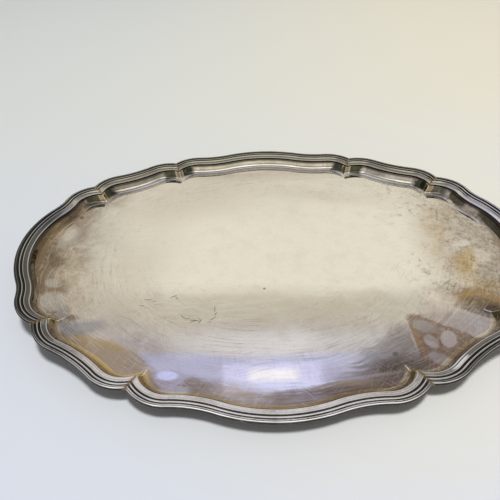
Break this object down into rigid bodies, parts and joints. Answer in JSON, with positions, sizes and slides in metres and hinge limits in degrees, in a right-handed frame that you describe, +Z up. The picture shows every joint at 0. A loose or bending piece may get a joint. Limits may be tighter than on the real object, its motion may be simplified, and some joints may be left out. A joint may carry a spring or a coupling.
{
  "type": "silver salver",
  "caption": "Oval salver with a lobed outline, a shallow flat well and a raised reeded border, for serving and presenting food, glasses or a tea set.",
  "frame": {"origin": "on the resting plane, under the middle of the base", "axes": "X along the long axis, Y across it, Z up"},
  "size_m": [0.4812, 0.3718, 0.0249],
  "materials": {
    "sheet_silver": "worn silver plate, satin with fine scratches, brown and golden tarnish near the wall",
    "border_silver": "polished silver plate with dark tarnish in the grooves"
  },
  "bodies": {
    "root": {"tray_body": "sheet_silver", "border_back": "border_silver", "border_back_right": "border_silver", "border_right_end": "border_silver", "border_front_right": "border_silver", "border_front": "border_silver", "border_front_left": "border_silver", "border_left_end": "border_silver", "border_back_left": "border_silver"}
  },
  "joints": []
}
